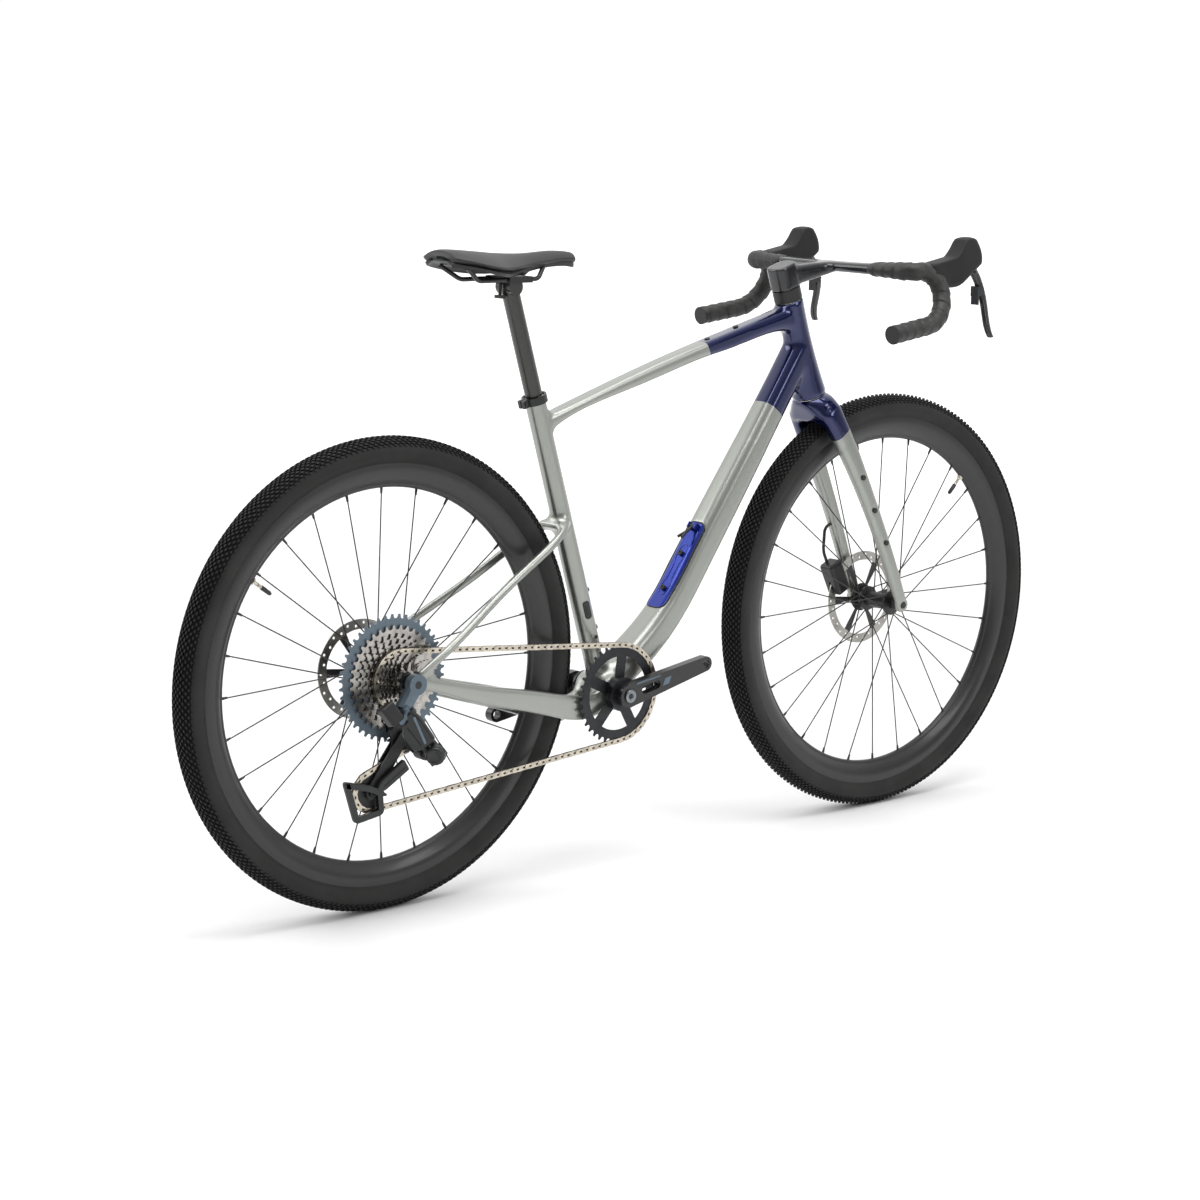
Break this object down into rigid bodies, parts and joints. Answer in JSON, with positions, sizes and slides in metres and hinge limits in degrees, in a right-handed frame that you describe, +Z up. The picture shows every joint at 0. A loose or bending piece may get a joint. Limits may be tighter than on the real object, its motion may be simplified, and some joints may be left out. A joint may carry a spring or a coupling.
{
  "type": "gravel bike",
  "caption": "Gravel bike with a silver and blue frame, drop bars, disc brakes, a storage hatch in the down tube and a wireless rear derailleur.",
  "frame": {"origin": "on the ground under the middle of the wheelbase, in the middle plane of the bike", "axes": "+X forward, +Y to the rider's left, +Z up; the chain is on the -Y side"},
  "size_m": [1.7667, 0.48, 0.991],
  "materials": {
    "frame_silver": "satin metallic",
    "frame_blue": "satin metallic",
    "carbon_black": "satin",
    "satin_black": "satin",
    "tyre_rubber": "matte",
    "bar_tape": "matte",
    "hood_rubber": "matte",
    "saddle_cover": "satin",
    "black_plastic": "matte",
    "steel": "brushed",
    "chain_steel": "polished",
    "dark_alloy": "anodised",
    "grey_blue": "satin",
    "spoke_black": "black coated"
  },
  "bodies": {
    "frame": {"head_tube": "frame_blue", "top_tube": "frame_silver", "down_tube": "frame_silver", "seat_tube": "frame_silver", "bottom_bracket_shell": "frame_silver", "right_chainstay": "frame_silver", "left_chainstay": "frame_silver", "seatstays": "frame_silver", "seat_clamp": "satin_black", "headset_bearings": "steel", "bottom_bracket_bearings": "satin_black", "rear_axle": "satin_black", "rear_caliper": "satin_black", "chain": "chain_steel", "frame_bolts": "satin_black", "derailleur_mount": "grey_blue", "derailleur_battery": "black_plastic"},
    "post": {"seatpost": "carbon_black"},
    "saddle_head": {"saddle_clamp": "satin_black"},
    "saddle": {"saddle_rails": "satin_black", "saddle_shell": "black_plastic", "saddle_cover": "saddle_cover"},
    "hatch": {"storage_hatch": "frame_blue"},
    "latch": {"hatch_latch": "black_plastic"},
    "steering": {"fork": "frame_silver", "headset_spacers": "black_plastic", "cockpit": "carbon_black", "bar_tape": "bar_tape", "bar_end_plugs": "black_plastic", "right_hood": "hood_rubber", "left_hood": "hood_rubber", "front_axle": "satin_black", "front_caliper": "satin_black", "front_brake_hose": "black_plastic", "fork_bolts": "satin_black"},
    "right_lever": {"right_brake_lever": "satin_black"},
    "left_lever": {"left_brake_lever": "satin_black"},
    "right_paddle": {"right_shift_paddle": "grey_blue"},
    "left_paddle": {"left_shift_paddle": "grey_blue"},
    "front_wheel": {"front_tyre": "tyre_rubber", "front_rim": "carbon_black", "front_spokes": "spoke_black", "front_hub": "satin_black", "front_rotor": "steel"},
    "rear_wheel": {"rear_tyre": "tyre_rubber", "rear_rim": "carbon_black", "rear_spokes": "spoke_black", "rear_hub": "satin_black", "rear_rotor": "steel"},
    "cassette_group": {"cassette": "steel", "freehub": "satin_black"},
    "cranks": {"chainring": "dark_alloy", "right_crank": "carbon_black", "left_crank": "carbon_black"},
    "outer_link": {"derailleur_outer_link": "satin_black"},
    "inner_link": {"derailleur_inner_link": "satin_black"},
    "knuckle": {"derailleur_knuckle": "satin_black"},
    "cage": {"derailleur_cage": "satin_black"},
    "guide_pulley": {"upper_pulley": "black_plastic"},
    "tension_pulley": {"lower_pulley": "black_plastic"}
  },
  "joints": [
    {"name": "steering", "type": "hinge", "parent": "frame", "child": "steering", "pos_m": [0.3481, 0, 0.71883], "axis": [-0.3173, 0, 0.9483], "range_deg": [-60, 60]},
    {"name": "front_wheel_spin", "type": "hinge", "parent": "steering", "child": "front_wheel", "pos_m": [0.5275, 0, 0.356], "axis": [0, 1, 0], "continuous": true},
    {"name": "rear_wheel_spin", "type": "hinge", "parent": "frame", "child": "rear_wheel", "pos_m": [-0.5275, 0, 0.356], "axis": [0, 1, 0], "continuous": true},
    {"name": "crank_turn", "type": "hinge", "parent": "frame", "child": "cranks", "pos_m": [-0.1005, 0, 0.281], "axis": [0, 1, 0], "continuous": true, "deforming": ["chain"]},
    {"name": "cassette_turn", "type": "hinge", "parent": "frame", "child": "cassette_group", "pos_m": [-0.5275, 0, 0.356], "axis": [0, 1, 0], "continuous": true, "deforming": ["chain"]},
    {"name": "guide_pulley_turn", "type": "hinge", "parent": "cage", "child": "guide_pulley", "pos_m": [-0.52207, -0.0435, 0.27092], "axis": [0, 1, 0], "continuous": true, "deforming": ["chain"]},
    {"name": "tension_pulley_turn", "type": "hinge", "parent": "cage", "child": "tension_pulley", "pos_m": [-0.57985, -0.0435, 0.19475], "axis": [0, 1, 0], "continuous": true, "deforming": ["chain"]},
    {"name": "shift_link", "type": "hinge", "parent": "frame", "child": "outer_link", "pos_m": [-0.5415, -0.0908, 0.316], "axis": [0.7372, 0.6337, 0.2344], "range_deg": [-8, 18], "deforming": ["chain"]},
    {"name": "shift_inner_link", "type": "hinge", "parent": "frame", "child": "inner_link", "pos_m": [-0.54775, -0.08076, 0.30851], "axis": [0.7372, 0.6337, 0.2344], "range_deg": [-8.5, 18.5], "deforming": ["chain"]},
    {"name": "shift_knuckle", "type": "hinge", "parent": "outer_link", "child": "knuckle", "pos_m": [-0.5065, -0.1108, 0.26], "axis": [0.7372, 0.6337, 0.2344], "range_deg": [-18.5, 8.5], "deforming": ["chain"]},
    {"name": "cage_swing", "type": "hinge", "parent": "knuckle", "child": "cage", "pos_m": [-0.494, -0.0435, 0.247], "axis": [0, -1, 0], "range_deg": [-28, 62], "deforming": ["chain"]},
    {"name": "seat_height", "type": "slide", "parent": "frame", "child": "post", "axis": [-0.2857, 0, 0.9583], "range_m": [-0.06, 0.06]},
    {"name": "saddle_tilt", "type": "hinge", "parent": "post", "child": "saddle_head", "pos_m": [-0.29134, 0, 0.92116], "axis": [0, 1, 0], "range_deg": [-6, 6]},
    {"name": "saddle_setback", "type": "slide", "parent": "saddle_head", "child": "saddle", "axis": [1, 0, 0], "range_m": [-0.007, 0.012]},
    {"name": "hatch_hinge", "type": "hinge", "parent": "frame", "child": "hatch", "pos_m": [0.00738, 0, 0.40158], "axis": [0, -1, 0], "range_deg": [0, 35]},
    {"name": "hatch_latch_hinge", "type": "hinge", "parent": "hatch", "child": "latch", "pos_m": [0.09254, 0, 0.52385], "axis": [0, 1, 0], "range_deg": [0, 45]},
    {"name": "right_brake_pull", "type": "hinge", "parent": "steering", "child": "right_lever", "pos_m": [0.52347, -0.188, 0.92897], "axis": [0, 1, 0], "range_deg": [0, 18], "stiffness_Nm_per_rad": 0.4},
    {"name": "right_shift_push", "type": "hinge", "parent": "right_lever", "child": "right_paddle", "pos_m": [0.54791, -0.188, 0.89697], "axis": [0, -1, 0], "range_deg": [0, 6], "stiffness_Nm_per_rad": 0.05},
    {"name": "left_brake_pull", "type": "hinge", "parent": "steering", "child": "left_lever", "pos_m": [0.52347, 0.188, 0.92897], "axis": [0, 1, 0], "range_deg": [0, 18], "stiffness_Nm_per_rad": 0.4},
    {"name": "left_shift_push", "type": "hinge", "parent": "left_lever", "child": "left_paddle", "pos_m": [0.54791, 0.188, 0.89697], "axis": [0, -1, 0], "range_deg": [0, 6], "stiffness_Nm_per_rad": 0.05}
  ],
  "couplings": [
    {"joint": "cassette_turn", "follows": "crank_turn", "ratio": 1.8095},
    {"joint": "guide_pulley_turn", "follows": "crank_turn", "ratio": -3.1667},
    {"joint": "tension_pulley_turn", "follows": "crank_turn", "ratio": 2.7143},
    {"joint": "shift_inner_link", "follows": "shift_link", "ratio": 1},
    {"joint": "shift_knuckle", "follows": "shift_link", "ratio": -1},
    {"joint": "cage_swing", "follows": "shift_link", "ratio": 3.4}
  ]
}
